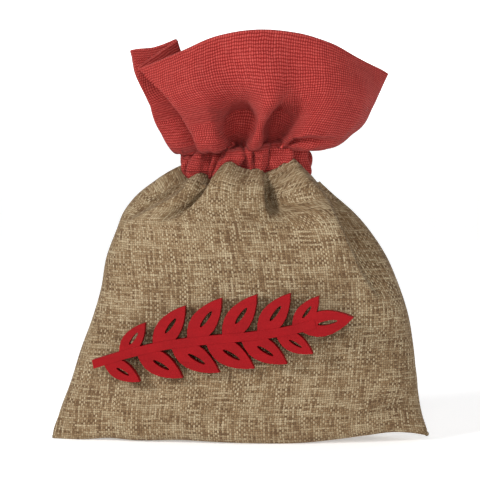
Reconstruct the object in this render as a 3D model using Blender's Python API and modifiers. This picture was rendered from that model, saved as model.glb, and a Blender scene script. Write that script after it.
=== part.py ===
"""Fabric gift sack, standing on its base, in metres with +Z up.

Two cloth panels are sewn together down both sides and across the bottom. Above them a doubled strip
makes a casing, which an elastic draws in to a narrow neck, and a flared collar. A flat wooden laurel
sprig is glued to the front. The origin is on the floor, under the middle of the sack, and the front
faces -Y. The collar's front and back halves each hinge outwards on the top edge of the casing.
"""

import math

import bpy
import bmesh
from mathutils import Matrix, Vector

MM = 0.001

# Driving dimensions of the sack
EAR_HALF = 65.0 * MM  # half of the bottom seam, from one ear to the other
NECK_Z = 94.0 * MM  # where the body's cloth ends
CASING_H = 8.0 * MM  # height of the elastic's casing
TOP_Z = 144.2 * MM  # highest point of the collar's rim
BASE_DEPTH = 15.5 * MM  # half of the depth of the part that lies on the floor
NECK_DEPTH = 12.0 * MM  # half of the depth of the neck

# Cloth, gaps and seams
PANEL_T = 1.0 * MM
COLLAR_T = 1.2 * MM
GAP = 0.3 * MM  # between pieces that touch on the real sack
SEAM_T = 0.6 * MM  # two pressed plies of seam allowance
SLOT = SEAM_T + 2 * GAP  # between the edges of the front and the back panel
ALLOWANCE = 5.0 * MM  # how far the seam allowance reaches into the sack
ALLOWANCE_IN = 3.4 * MM  # from the neck's outer face to the allowance inside it
OVERLOCK_R = 0.5 * MM
STITCH_R = 0.25 * MM

# Elastic and its casing, as distances inwards from the neck's outer face
CASING_T = 5.2 * MM
CASING_WALL = 0.6 * MM
ELASTIC_IN = 2.3 * MM
ELASTIC_T = 0.7 * MM
ELASTIC_W = 5.0 * MM
OVERLAP_ARC = 0.33  # half of the elastic's lapped joint, in radians round the neck

# Wooden sprig
SPRIG_L = 92.0 * MM
SPRIG_T = 4.0 * MM
SPRIG_X = -3.0 * MM
SPRIG_Z = 38.0 * MM
SPRIG_SLANT = math.radians(12)  # its right end is the higher one
SPRIG_TURN = math.radians(-5)  # its right end stands further forward
SPRIG_STANDOFF = 1.1 * MM  # from the cloth's nearest point to the sprig's back
LEAF_L = 19.0 * MM
LEAF_W = 8.8 * MM
LEAF_ANGLE = math.radians(42)
LEAVES_A_SIDE = 6
STEM_R = 1.5 * MM
STEM_STEP = 0.2 * MM  # how far the stem stands out from the leaves' faces
STEM_WAVE = 1.6 * MM  # how far the stem bends away from a straight line
RIGHT_LEAF, LEFT_LEAF = 0.35, 0.85  # where a pair's leaves stand, as shares of the pitch
END_LEAF_SHRINK = 0.25  # the first and last pair are smaller by this share
SLIT_PLACE = 0.52  # the slit's middle, as a share of the leaf's length
SLIT_CORNERS = 14
SLIT_L = 7.0 * MM  # an oval slit along the middle of each leaf
SLIT_W = 1.5 * MM
GLUE_R = 1.6 * MM
GLUE_PITCH = 14.0 * MM  # from one drop of glue to the next

# Outline of the body seen from the front: (height, left side, right side, half depth)
BODY_OUTLINE = [
    (0.0, -EAR_HALF, EAR_HALF, BASE_DEPTH),
    (12 * MM, -62 * MM, 62.5 * MM, 19.5 * MM),
    (28 * MM, -56 * MM, 60.5 * MM, 21.0 * MM),
    (48 * MM, -50.5 * MM, 57 * MM, 21.0 * MM),
    (64 * MM, -47.5 * MM, 51 * MM, 19.5 * MM),
    (78 * MM, -42 * MM, 41 * MM, 16.5 * MM),
    (88 * MM, -32 * MM, 30.5 * MM, 13.8 * MM),
    (NECK_Z, -22 * MM, 24.5 * MM, NECK_DEPTH),
]

# Outline of the collar: (share of the way up, left side, right side, half depth)
COLLAR_OUTLINE = [
    (0.0, -22 * MM, 24.5 * MM, NECK_DEPTH),
    (0.15, -26.5 * MM, 34 * MM, 15.5 * MM),
    (0.35, -30 * MM, 42 * MM, 19.5 * MM),
    (0.6, -33.5 * MM, 47 * MM, 24.0 * MM),
    (0.8, -36.5 * MM, 49.5 * MM, 27.5 * MM),
    (1.0, -38 * MM, 51 * MM, 31.5 * MM),
]
RIM_LEFT_Z = 135.5 * MM
RIM_RIGHT_Z = 128.0 * MM
COLLAR_Z = NECK_Z + GAP + CASING_H + GAP
HINGE_Y = NECK_DEPTH + 1.5 * MM  # each collar half turns on a line just outside the neck
HINGE_Z = COLLAR_Z - GAP / 2

# Gathers: shallow pleats that run out down the body and up the collar
PLEATS = 6
PLEAT_DEPTH = 1.0 * MM
FLATNESS = 0.72  # under 1, a section is flatter in front than an ellipse

COLUMNS = 30  # faces from one side seam to the other
COLOURS = {
    "burlap": (0.30, 0.21, 0.12),
    "red_cloth": (0.45, 0.07, 0.06),
    "elastic": (0.85, 0.85, 0.82),
    "thread": (0.42, 0.33, 0.22),
    "red_thread": (0.50, 0.05, 0.05),
    "painted_wood": (0.27, 0.004, 0.008),
    "glue": (0.80, 0.78, 0.70),
}

FRONT, BACK = -1, 1
sack = bpy.data.collections.new("fabric_gift_sack")


def clear_scene():
    for obj in list(bpy.data.objects):
        bpy.data.objects.remove(obj, do_unlink=True)
    bpy.context.scene.collection.children.link(sack)


def material(name):
    """One Principled material for each kind of stuff, made the first time it is asked for."""
    found = bpy.data.materials.get(name)
    if found:
        return found
    made = bpy.data.materials.new(name)
    made.use_nodes = True
    shader = made.node_tree.nodes["Principled BSDF"]
    shader.inputs["Base Color"].default_value = (*COLOURS[name], 1)
    shader.inputs["Roughness"].default_value = 0.45 if name == "painted_wood" else 0.9
    shader.inputs["Metallic"].default_value = 0.0
    return made


def put(name, data, colour):
    obj = bpy.data.objects.new(name, data)
    obj.data.materials.append(material(colour))
    sack.objects.link(obj)
    return obj


def between(table, t):
    """Smooth values from a table of rows (t, value, value, ...), by Catmull-Rom through its rows."""
    last = len(table) - 2
    i = next((k for k in range(last + 1) if t <= table[k + 1][0]), last)
    a, b = table[i], table[i + 1]
    before, after = table[max(i - 1, 0)], table[min(i + 2, last + 1)]
    span = b[0] - a[0]
    u = (t - a[0]) / span
    values = []
    for k in range(1, len(a)):
        start = (b[k] - before[k]) / (b[0] - before[0]) * span
        end = (after[k] - a[k]) / (after[0] - a[0]) * span
        values.append(
            a[k] * (2 * u**3 - 3 * u**2 + 1)
            + start * (u**3 - 2 * u**2 + u)
            + b[k] * (3 * u**2 - 2 * u**3)
            + end * (u**3 - u**2)
        )
    return values


def pleat(angle, strength):
    """How far a gather stands out at this angle round the neck. It is nothing at the side seams."""
    return PLEAT_DEPTH * strength * math.sin(angle) * math.cos(2 * PLEATS * angle)


def section_point(side, left, right, depth, angle, z, inward=0.0, strength=0.0):
    """A point on a half section. The angle is 0 at the left side seam and pi at the right one."""
    middle, half = (left + right) / 2, (right - left) / 2 - inward
    depth = depth - inward - SLOT / 2
    out = depth * math.sin(angle) ** FLATNESS + pleat(angle, strength)
    return Vector((middle - half * math.cos(angle), side * (SLOT / 2 + max(out, 0.0)), z))


def body_point(side, angle, z, inward=0.0):
    left, right, depth = between(BODY_OUTLINE, z)
    strength = max(0.0, (z / NECK_Z - 0.5) / 0.5) ** 1.5
    return section_point(side, left, right, depth, angle, z, inward, strength)


def rim_height(angle):
    """The rim is highest in the middle and runs down to a corner at each side seam."""
    share = (1 - math.cos(angle)) / 2
    corners = RIM_LEFT_Z + (RIM_RIGHT_Z - RIM_LEFT_Z) * share
    return corners + (TOP_Z - corners) * math.sin(angle) ** 1.2


def collar_point(side, angle, up):
    left, right, depth = between(COLLAR_OUTLINE, up)
    z = COLLAR_Z + (rim_height(angle) - COLLAR_Z) * up
    return section_point(side, left, right, depth, angle, z, strength=1 + up)


def angles(count=COLUMNS):
    return [math.pi * i / count for i in range(count + 1)]


def cloth_shell(name, rows, side, thickness, colour, origin=Vector()):
    """An open sheet through rows of points, its outside facing away from the sack's inside."""
    mesh = bpy.data.meshes.new(name)
    bm = bmesh.new()
    grid = [[bm.verts.new(p - origin) for p in row] for row in rows]
    for low, high in zip(grid, grid[1:]):
        for a, b, c, d in zip(low, low[1:], high[1:], high):
            bm.faces.new((a, b, c, d) if side == FRONT else (d, c, b, a))
    bmesh.ops.remove_doubles(bm, verts=bm.verts, dist=1e-6)
    bmesh.ops.dissolve_degenerate(bm, edges=bm.edges, dist=1e-6)
    bm.to_mesh(mesh)
    bm.free()
    mesh.shade_smooth()
    obj = put(name, mesh, colour)
    obj.location = origin
    solid = obj.modifiers.new("thickness", "SOLIDIFY")
    solid.thickness = thickness
    solid.offset = -1
    return obj


def ring_solid(name, path, colour, closed=False):
    """A bar swept along a path. Each item of path is the loop of corners of one cross-section."""
    mesh = bpy.data.meshes.new(name)
    bm = bmesh.new()
    loops = [[bm.verts.new(p) for p in corners] for corners in path]
    pairs = list(zip(loops, loops[1:] + loops[:1]))
    for here, there in pairs if closed else pairs[:-1]:
        for k in range(len(here)):
            n = (k + 1) % len(here)
            bm.faces.new((here[k], here[n], there[n], there[k]))
    if not closed:
        bm.faces.new(loops[0][::-1])
        bm.faces.new(loops[-1])
    bmesh.ops.recalc_face_normals(bm, faces=bm.faces)
    bm.to_mesh(mesh)
    bm.free()
    return put(name, mesh, colour)


def thread(name, points, radius, colour, closed=False):
    """A thin tube through the points."""
    curve = bpy.data.curves.new(name, "CURVE")
    curve.dimensions = "3D"
    curve.bevel_depth = radius
    curve.bevel_resolution = 1
    curve.use_fill_caps = True
    spline = curve.splines.new("POLY")
    spline.points.add(len(points) - 1)
    for target, p in zip(spline.points, points):
        target.co = (*p, 1)
    spline.use_cyclic_u = closed
    return put(name, curve, colour)


def body_panel(name, side):
    """The panel runs from the bottom seam along the floor, round the base's edge and up to the neck."""
    floor_rows = [0.0, 0.4, 0.75]
    heights = [0, 2.5, 7, 13, 21, 30, 40, 50, 60, 69, 77, 84, 90]
    rows = []
    for share in floor_rows:
        row = []
        for angle in angles():
            edge = body_point(side, angle, 0.0)
            row.append(Vector((edge.x, side * (SLOT / 2) + (edge.y - side * SLOT / 2) * share, 0)))
        rows.append(row)
    for z in [h * MM for h in heights] + [NECK_Z]:
        rows.append([body_point(side, angle, z) for angle in angles()])
    return cloth_shell(name, rows, side, PANEL_T, "burlap")


def collar_half(name, side):
    steps = [0, 0.07, 0.15, 0.25, 0.38, 0.52, 0.68, 0.84, 1.0]
    rows = [[collar_point(side, angle, up) for angle in angles()] for up in steps]
    hinge = Vector((0, side * HINGE_Y, HINGE_Z))
    return cloth_shell(name, rows, side, COLLAR_T, "red_cloth", hinge)


def neck_point(side, angle, inward, z):
    left, right, depth = BODY_OUTLINE[-1][1:]
    return section_point(side, left, right, depth, angle, z, inward, strength=1.0)


def casing_half(name, side):
    """A half ring with a tunnel through it from end to end, for the elastic."""
    low, high = NECK_Z + GAP, NECK_Z + GAP + CASING_H
    wall = CASING_WALL
    mesh = bpy.data.meshes.new(name)
    bm = bmesh.new()

    def loop(angle, first, last, bottom, top):
        corners = [(first, bottom), (first, top), (last, top), (last, bottom)]
        return [bm.verts.new(neck_point(side, angle, inward, z)) for inward, z in corners]

    outer = [loop(a, 0.0, CASING_T, low, high) for a in angles()]
    inner = [loop(a, wall, CASING_T - wall, low + wall, high - wall) for a in angles()]
    for skin in (outer, inner):
        for here, there in zip(skin, skin[1:]):
            for k in range(4):
                n = (k + 1) % 4
                bm.faces.new((here[k], here[n], there[n], there[k]))
    for end in (0, -1):
        for k in range(4):
            n = (k + 1) % 4
            bm.faces.new((outer[end][k], outer[end][n], inner[end][n], inner[end][k]))
    bmesh.ops.recalc_face_normals(bm, faces=bm.faces)
    bm.to_mesh(mesh)
    bm.free()
    return put(name, mesh, "red_cloth")


def elastic_corners(side, angle, inward):
    middle = NECK_Z + GAP + CASING_H / 2
    low, high = middle - ELASTIC_W / 2, middle + ELASTIC_W / 2
    spots = [(inward, low), (inward, high), (inward + ELASTIC_T, high), (inward + ELASTIC_T, low)]
    return [neck_point(side, angle, i, z) for i, z in spots]


def neck_elastic():
    """A closed band through both casings, and the lap where its two ends are sewn together."""
    front = [elastic_corners(FRONT, a, ELASTIC_IN) for a in angles()]
    back = [elastic_corners(BACK, a, ELASTIC_IN) for a in reversed(angles())]
    ring_solid("neck_elastic", front + back, "elastic", closed=True)
    lap_in = ELASTIC_IN + ELASTIC_T + GAP
    lap = [elastic_corners(BACK, a, lap_in) for a in angles() if abs(a - math.pi / 2) < OVERLAP_ARC]
    ring_solid("elastic_lap", lap, "elastic")


def seam_strip(name, outer, inner):
    """Pressed seam allowance: a flat strip between two lines of points in the plane Y = 0."""
    path = []
    for a, b in zip(outer, inner):
        thick = Vector((0, SEAM_T / 2, 0))
        path.append([a - thick, a + thick, b + thick, b - thick])
    return ring_solid(name, path, "burlap")


def beside(line, distance):
    """A line at this distance from another, in the plane Y = 0, towards +X if the other one rises."""
    moved = []
    for i, p in enumerate(line):
        along = (line[min(i + 1, len(line) - 1)] - line[max(i - 1, 0)]).normalized()
        moved.append(p + distance * Vector((along.z, 0, -along.x)))
    return moved


def seams():
    """The seam allowances stand inside the sack, each with an overlock thread along its free edge."""
    steps = 14
    start, end = ALLOWANCE + 8 * OVERLOCK_R, NECK_Z - PANEL_T
    heights = [start + (end - start) * i / steps for i in range(steps + 1)]
    for name, column, inwards in (("left", 0, 1), ("right", 1, -1)):
        outer = [Vector((between(BODY_OUTLINE, z)[column], 0, z)) for z in heights]
        inner = beside(outer, inwards * ALLOWANCE)
        edge = beside(inner, inwards * (GAP + OVERLOCK_R))
        seam_strip(f"{name}_seam_allowance", outer, inner)
        thread(f"{name}_overlock_thread", edge, OVERLOCK_R, "thread")
    reach = EAR_HALF - ALLOWANCE
    places = [-reach + 2 * reach * i / steps for i in range(steps + 1)]
    low = [Vector((x, 0, GAP)) for x in places]
    high = [Vector((x, 0, ALLOWANCE)) for x in places]
    seam_strip("bottom_seam_allowance", high, low)
    inside = reach - ALLOWANCE - 3 * OVERLOCK_R
    above = ALLOWANCE + GAP + OVERLOCK_R
    edge = [Vector((-inside + 2 * inside * i / steps, 0, above)) for i in range(steps + 1)]
    thread("bottom_overlock_thread", edge, OVERLOCK_R, "thread")


def neck_allowance(name, side):
    """The raw edges of the body and collar cloth, sewn together and hanging down inside the neck."""
    low, high = NECK_Z - ALLOWANCE, NECK_Z - GAP
    path = []
    for angle in angles():
        spots = [(ALLOWANCE_IN, low), (ALLOWANCE_IN, high)]
        spots += [(ALLOWANCE_IN + SEAM_T, high), (ALLOWANCE_IN + SEAM_T, low)]
        path.append([neck_point(side, angle, inward, z) for inward, z in spots])
    return ring_solid(name, path, "burlap")


def neck_threads():
    """The seam that joins body and collar cloth, and the row of stitches that closes the casing."""
    out = -GAP - STITCH_R
    for name, z, colour in (
        ("neck_join_thread", NECK_Z + GAP / 2, "thread"),
        ("casing_stitch_thread", NECK_Z + GAP + CASING_H - 2 * STITCH_R, "red_thread"),
    ):
        front = [neck_point(FRONT, a, out, z) for a in angles()]
        back = [neck_point(BACK, a, out, z) for a in reversed(angles())]
        thread(name, front + back, STITCH_R, colour, closed=True)


def collar_seam_threads():
    """A thread closes each side of the collar, in the slot between its front and back halves."""
    radius = SEAM_T / 2
    for name, column, angle, inwards in (("left", 0, 0.0, 1), ("right", 1, math.pi, -1)):
        points = []
        for up in [0.02 + 0.08 * i for i in range(13)]:
            x = between(COLLAR_OUTLINE, up)[column] + inwards * radius
            z = COLLAR_Z + (rim_height(angle) - COLLAR_Z) * up
            points.append(Vector((x, 0, z)))
        thread(f"collar_{name}_seam_thread", points, radius, "red_thread")


def leaf_outline(root, heading, length, width, neck):
    """Both edges of a pointed leaf, from its stalk round its tip and back to its stalk."""
    along = Vector((math.cos(heading), math.sin(heading)))
    across = Vector((-along.y, along.x))
    steps = 7
    edge = []
    for i in range(steps):
        t = i / steps
        half = width / 2 * math.sin(math.pi * t**0.8) ** 0.85 if i else 0.0
        edge.append((t * length, max(half, neck * (1 - t))))
    right = [root + along * a - across * h for a, h in edge]
    left = [root + along * a + across * h for a, h in reversed(edge)]
    return right + [root + along * length] + left


def stem_middle(s):
    """The stem bends in a slow wave. s is the distance from its cut end."""
    return Vector((s - SPRIG_L / 2, STEM_WAVE * math.sin(2 * math.pi * s / SPRIG_L)))


def plate(name, outline, thick):
    """A flat piece of the sprig, cut from wood of this thickness."""
    curve = bpy.data.curves.new(name, "CURVE")
    curve.dimensions = "2D"
    curve.fill_mode = "BOTH"
    curve.extrude = thick / 2
    spline = curve.splines.new("POLY")
    spline.points.add(len(outline) - 1)
    for target, p in zip(spline.points, outline):
        target.co = (p.x, p.y, 0, 1)
    spline.use_cyclic_u = True
    guide = bpy.data.objects.new(name, curve)
    bpy.context.scene.collection.objects.link(guide)
    bpy.context.view_layer.update()
    mesh = bpy.data.meshes.new_from_object(guide.evaluated_get(bpy.context.evaluated_depsgraph_get()))
    bpy.data.objects.remove(guide, do_unlink=True)
    bm = bmesh.new()
    bm.from_mesh(mesh)
    bmesh.ops.remove_doubles(bm, verts=bm.verts, dist=1e-6)
    bm.to_mesh(mesh)
    bm.free()
    mesh.materials.clear()
    return mesh


def slit_outline(root, heading, size):
    """An ellipse a little over halfway along a leaf."""
    along = Vector((math.cos(heading), math.sin(heading)))
    across = Vector((-along.y, along.x))
    middle = root + along * LEAF_L * size * SLIT_PLACE
    turns = [2 * math.pi * i / SLIT_CORNERS for i in range(SLIT_CORNERS)]
    long, wide = SLIT_L * size / 2, SLIT_W * size / 2
    return [middle + along * long * math.cos(t) + across * wide * math.sin(t) for t in turns]


def helper_collection(name):
    """A collection of shapes that only join or cut the sprig."""
    made = bpy.data.collections.new(name)
    made.hide_render = True
    bpy.context.scene.collection.children.link(made)
    return made


def helper(collection, name, mesh, place):
    obj = bpy.data.objects.new(name, mesh)
    obj.data.materials.append(material("painted_wood"))
    obj.matrix_world = place
    obj.hide_render = True
    obj.display_type = "WIRE"
    collection.objects.link(obj)


def boolean(obj, name, operation, collection):
    step = obj.modifiers.new(name, "BOOLEAN")
    step.operation = operation
    step.solver = "EXACT"
    step.operand_type = "COLLECTION"
    step.collection = collection


def sprig_matrix():
    """Turns the sprig's own plane to stand on the front of the sack, as far back as it will go."""
    turn = Matrix.Rotation(SPRIG_TURN, 4, "Z") @ Matrix.Rotation(-SPRIG_SLANT, 4, "Y")
    upright = Matrix.Rotation(math.radians(90), 4, "X")
    place = Matrix.Translation((SPRIG_X, 0, SPRIG_Z)) @ turn @ upright
    nearest = 0.0
    for angle in angles(60):
        for z in range(20, 60, 5):
            p = place.inverted() @ body_point(FRONT, angle, z * MM)
            if abs(p.x) < SPRIG_L / 2:
                nearest = max(nearest, p.z)
    return place @ Matrix.Translation((0, 0, nearest + SPRIG_STANDOFF + SPRIG_T / 2))


def wooden_sprig():
    """A wavy stem and the leaves that stand alternately on its two sides, cut out in one piece."""
    stem_end = SPRIG_L - LEAF_L * 0.7
    places = [stem_end * i / 24 for i in range(25)]
    under = [stem_middle(s) - Vector((0, STEM_R)) for s in places]
    over = [stem_middle(s) + Vector((0, STEM_R)) for s in reversed(places)]
    sprig = put("wooden_sprig", plate("wooden_sprig", under + over, SPRIG_T), "painted_wood")
    sprig.matrix_world = sprig_matrix()
    pitch = (SPRIG_L - LEAF_L) / LEAVES_A_SIDE
    leaves = [(stem_middle(SPRIG_L - LEAF_L), 0.0, 1.0)]
    for i in range(LEAVES_A_SIDE):
        size = 1.0 - END_LEAF_SHRINK * abs(2 * i / (LEAVES_A_SIDE - 1) - 1) ** 3
        leaves.append((stem_middle(pitch * (i + RIGHT_LEAF)), -LEAF_ANGLE, size))
        leaves.append((stem_middle(pitch * (i + LEFT_LEAF)), LEAF_ANGLE, size))
    leaf_shapes, slit_cutters = helper_collection("sprig_leaves"), helper_collection("sprig_slits")
    for number, (root, heading, size) in enumerate(leaves, start=1):
        outline = leaf_outline(root, heading, LEAF_L * size, LEAF_W * size, STEM_R * 0.6)
        leaf = plate(f"leaf_{number}", outline, SPRIG_T - 2 * STEM_STEP)
        helper(leaf_shapes, f"leaf_{number}", leaf, sprig.matrix_world)
        slit = plate(f"slit_{number}", slit_outline(root, heading, size), 2 * SPRIG_T)
        helper(slit_cutters, f"slit_{number}", slit, sprig.matrix_world)
    boolean(sprig, "leaves", "UNION", leaf_shapes)
    boolean(sprig, "slits", "DIFFERENCE", slit_cutters)


def glue_pads():
    """Drops of hot glue between the sprig's back and the cloth, under the stem."""
    place = sprig_matrix()
    for number, along in enumerate((-GLUE_PITCH, 0.0, GLUE_PITCH), start=1):
        middle = stem_middle(SPRIG_L / 2 + along)
        back = place @ Vector((middle.x, middle.y, -SPRIG_T / 2 - GAP))
        left, right, _ = between(BODY_OUTLINE, back.z)
        cosine = ((left + right) / 2 - back.x) / ((right - left) / 2)
        cloth_y = body_point(FRONT, math.acos(cosine), back.z).y - 2 * GAP
        bpy.ops.mesh.primitive_cylinder_add(
            vertices=16, radius=GLUE_R, depth=cloth_y - back.y, rotation=(math.radians(90), 0, 0)
        )
        pad = bpy.context.object
        pad.name = pad.data.name = f"glue_pad_{number}"
        pad.location = (back.x, (cloth_y + back.y) / 2, back.z)
        pad.data.materials.append(material("glue"))
        for owner in pad.users_collection:
            owner.objects.unlink(pad)
        sack.objects.link(pad)


clear_scene()
body_panel("body_front_panel", FRONT)
body_panel("body_back_panel", BACK)
seams()
neck_allowance("neck_front_allowance", FRONT)
neck_allowance("neck_back_allowance", BACK)
casing_half("casing_front", FRONT)
casing_half("casing_back", BACK)
neck_elastic()
neck_threads()
collar_half("collar_front", FRONT)
collar_half("collar_back", BACK)
collar_seam_threads()
wooden_sprig()
glue_pads()
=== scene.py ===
"""Looks of the fabric gift sack: burlap body, puckered casing, flared red collar and sprig."""

import math

import bmesh
import bpy
import numpy as np
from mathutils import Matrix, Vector, noise


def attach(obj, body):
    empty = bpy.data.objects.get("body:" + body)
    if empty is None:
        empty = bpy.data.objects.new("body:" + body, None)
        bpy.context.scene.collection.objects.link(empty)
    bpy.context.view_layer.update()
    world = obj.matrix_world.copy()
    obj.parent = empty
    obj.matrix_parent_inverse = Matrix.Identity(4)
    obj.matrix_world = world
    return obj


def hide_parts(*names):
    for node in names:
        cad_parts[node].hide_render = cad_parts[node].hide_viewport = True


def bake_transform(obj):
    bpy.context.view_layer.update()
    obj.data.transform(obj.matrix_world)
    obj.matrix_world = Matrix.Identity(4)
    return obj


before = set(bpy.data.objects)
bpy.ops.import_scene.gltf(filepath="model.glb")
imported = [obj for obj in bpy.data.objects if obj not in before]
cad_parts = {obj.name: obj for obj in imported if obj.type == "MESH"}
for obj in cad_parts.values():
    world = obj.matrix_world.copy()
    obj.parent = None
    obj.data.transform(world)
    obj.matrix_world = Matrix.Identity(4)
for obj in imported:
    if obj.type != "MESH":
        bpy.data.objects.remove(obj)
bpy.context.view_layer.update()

MM = 0.001
FRONT, BACK = -1, 1

# Cloth
BURLAP_T = 0.9 * MM
RED_T = 1.2 * MM  # two plies, since the collar is folded over at its rim
CASING_T = 0.6 * MM
BURLAP_PITCH = 0.83 * MM  # from one thread to the next
RED_PITCH = 0.86 * MM
ALLOWANCE = 5 * MM
PLY_HALF_T = 0.6 * MM  # half of two pressed plies
ELASTIC_T = 0.7 * MM
THREAD_R = 0.22 * MM

# Outline of the body, in mm: (height, left side, right side, depth)
BODY_OUTLINE = [
    (0, -66.2, 65.8, 15.5),
    (3, -66, 65.2, 17.2),
    (8, -64.6, 63.8, 18.5),
    (17, -61, 62.2, 20),
    (32, -56.2, 60.6, 21.2),
    (43, -52.2, 58.8, 21.4),
    (53, -49.2, 55.6, 21.2),
    (64, -47.2, 51, 20.2),
    (74, -43.4, 44.5, 18.5),
    (80, -40.8, 39.4, 17.4),
    (86, -35.8, 33.2, 16),
    (91, -29, 27.4, 14.5),
    (96, -21.6, 23.6, 13),
]
NECK_Z = 96  # mean height of the body's upper edge, which the neckline raises and lowers
BASE_R = 2.2  # rounding between the front or back and the base
SEAM_HALF_GAP = 0.25  # from the middle of a side or bottom seam to the panels on either side
EAR_X, EAR_FORWARD = 66, 5  # where the two bottom corners are, and how far forward they lean
# (place along the base, height of the bottom edge), in mm
BOTTOM_RISE = [
    (-66, 0.2), (-55, 0.1), (-46, 0.9), (-37, 0.4), (-20, 0.9), (-8, 0.4), (8, 0), (22, 0.2),
    (32, 1.1), (44, 2.5), (54, 3.5), (60, 3.1), (66, 2),
]
# (place across the neck, height of the upper edge), in mm
NECKLINES = {
    FRONT: [
        (-22, 96.6), (-20.6, 95.6), (-18.4, 91.6), (-16.6, 92.6), (-14.6, 93.6), (-12.1, 93.1),
        (-9.6, 91), (-7.4, 93.8), (-5, 96.6), (-2.6, 97.5), (0.4, 95.8), (3.5, 95.2), (6.1, 95.5),
        (7.6, 95), (8.7, 94), (9.8, 94.3), (12.1, 95.2), (15.8, 97.3), (18.4, 98.5), (20.8, 96.6),
        (23.4, 94.4), (24.8, 92.6),
    ],
    BACK: [
        (-22, 96.3), (-17.5, 93), (-12, 97), (-4.5, 92.5), (3, 97.5), (9, 92.5), (15.5, 97.5),
        (21, 94.5), (24.5, 93.6),
    ],
}

# Folds of the body, in mm. Each is a line of points (x, height, half width, how far it stands out).
RIDGES = {
    FRONT: {
        "left": [
            (-21, 96, 3, 1.5), (-26, 90.5, 3.5, 1.6), (-32, 85.5, 4, 1.4), (-39, 79, 4.5, 0.8),
            (-44, 71, 6, 0),
        ],
        "second": [
            (-13.5, 94, 2.6, 1.4), (-17, 88.5, 3, 1.6), (-23, 84, 3.2, 1.2), (-30, 80, 4, 0.5),
            (-36, 76, 5, 0),
        ],
        "middle": [
            (-2.5, 98, 4.5, 3.2), (-3, 90, 6, 3.4), (-5, 82, 9, 2.2), (-8, 72, 12, 1.1),
            (-12, 60, 14, 0),
        ],
        "right": [
            (17, 98, 4, 2.4), (19, 92.5, 5, 2.4), (22, 86.5, 6, 2.2), (26, 80, 7, 2),
            (30, 73, 8, 1.6), (35, 64, 9, 0.8), (41, 52, 10, 0),
        ],
        "left_hem": [(-60, 14, 4, 0.8), (-46, 17, 6, 0.6), (-34, 16, 7, 0)],
        "right_hem": [(64, 22, 4, 1.6), (52, 20, 5, 2), (38, 14, 7, 0)],
    },
    BACK: {
        "first": [(17, 97, 4, 3), (21, 89, 5, 3.4), (29, 79, 7, 2), (38, 66, 9, 0)],
        "second": [(3, 97, 4.5, 3), (3.5, 87, 6, 3.8), (6, 76, 9, 2), (9, 60, 13, 0)],
        "third": [(-11.5, 97, 4, 2.4), (-14, 89, 5, 2.2), (-21, 79, 8, 2), (-29, 66, 10, 0)],
        "hem": [(-60, 18, 4, 1), (-44, 15, 6, 0.8), (-30, 11, 7, 0)],
    },
}
CREASES = {
    FRONT: {
        "deep": [
            (9.6, 96, 1.6, 0), (9.8, 91, 2, -2), (10.2, 88, 2.6, -4.2), (11.4, 84.5, 3, -5),
            (14, 81, 3.6, -4), (18, 77, 4.4, -2.4), (23, 71, 5.5, -1), (28, 64, 6, 0),
        ],
        "beside_deep": [(2, 84, 2, 0), (4, 80, 2.4, -1), (8, 76, 2.8, -1), (13, 71, 3, 0)],
        "left_ear": [(-64, 5, 3, -1), (-52, 9, 4, -1.2), (-38, 10, 6, 0)],
        "right_hem": [(64, 12, 3, -1.4), (52, 10, 4, -1.8), (36, 6, 6, 0)],
    },
    BACK: {
        "first": [(9.5, 96, 2.2, -5), (12, 87, 2.8, -5.5), (18, 78, 4, -3), (27, 66, 6, 0)],
        "second": [(-4.5, 96, 2.2, -5), (-5, 87, 2.8, -5.8), (-9, 78, 4, -3.4), (-17, 64, 6, 0)],
        "third": [(-17.5, 95, 2, -4), (-23, 88, 2.6, -4.4), (-31, 80, 3.6, -2.6), (-40, 68, 5, 0)],
        "hem": [(-62, 10, 3, -1), (-46, 8, 4, -1), (-32, 5, 6, 0)],
    },
}
# Overlapping edges of folds, listed in the direction that has the cloth lying behind on its left
STEPS = {
    FRONT: {
        "first": [
            (-41, 75.5, 4, 0), (-38, 77.7, 4.5, -2), (-34.4, 80.3, 5, -4), (-30.9, 82.3, 5, -5.4),
            (-27.3, 84.4, 5, -6.4), (-23.8, 86.5, 4.5, -7), (-20.4, 89.5, 4, -7),
            (-18.6, 92, 3.5, -6), (-17.8, 97, 3, -4),
        ],
        "second": [
            (-29, 77, 4, 0), (-25.4, 78.2, 4.5, -2), (-22, 79.4, 5, -4), (-18.4, 81.7, 5, -5.8),
            (-14.9, 84.4, 4.6, -7), (-11.5, 87.2, 4, -7), (-9.5, 90.2, 3.4, -6), (-8.8, 96, 3, -4),
        ],
        "middle": [
            (8.2, 98, 2, -2), (8.6, 93.5, 2.2, -3), (8.6, 90, 2.6, -7), (8.6, 87, 2.8, -8.5),
            (8.9, 84, 3.4, -7.5), (10.2, 81.4, 3.6, -3.5), (12.5, 79.5, 4, 0),
        ],
        "right": [
            (20.8, 98, 5, -2), (22.3, 95.3, 5, -4), (25, 91.3, 5.5, -7.5), (27, 88, 6, -11),
            (30.3, 82.7, 7, -14), (33.6, 76.7, 7, -13.5), (36.3, 71.4, 7, -12),
            (38.6, 66.8, 7, -10), (41.7, 61, 6.5, -7), (45.2, 55.5, 6, -4), (49, 50, 5, 0),
        ],
    },
    BACK: {
        "first": [(20, 97, 5, -4), (25, 87, 6, -6), (33, 77, 7, -4.4), (42, 64, 7, 0)],
    },
}
STEP_WIDTH = 0.22  # mm over which an overlapping edge drops
STEP_BELOW, STEP_ABOVE = 0.62, 0.38  # shares of the drop that lie under and over the cloth's middle
OVERHANG = 0.4  # how far a raised edge leans over the cloth behind, as a share of its height
STEP_SPREAD = 2.2  # how much further the raised cloth reaches than the cloth behind
ROUND_FOLD, SHARP_FOLD = 2.0, 1.15  # powers that make a section a round bell or a sharp crease


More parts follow.
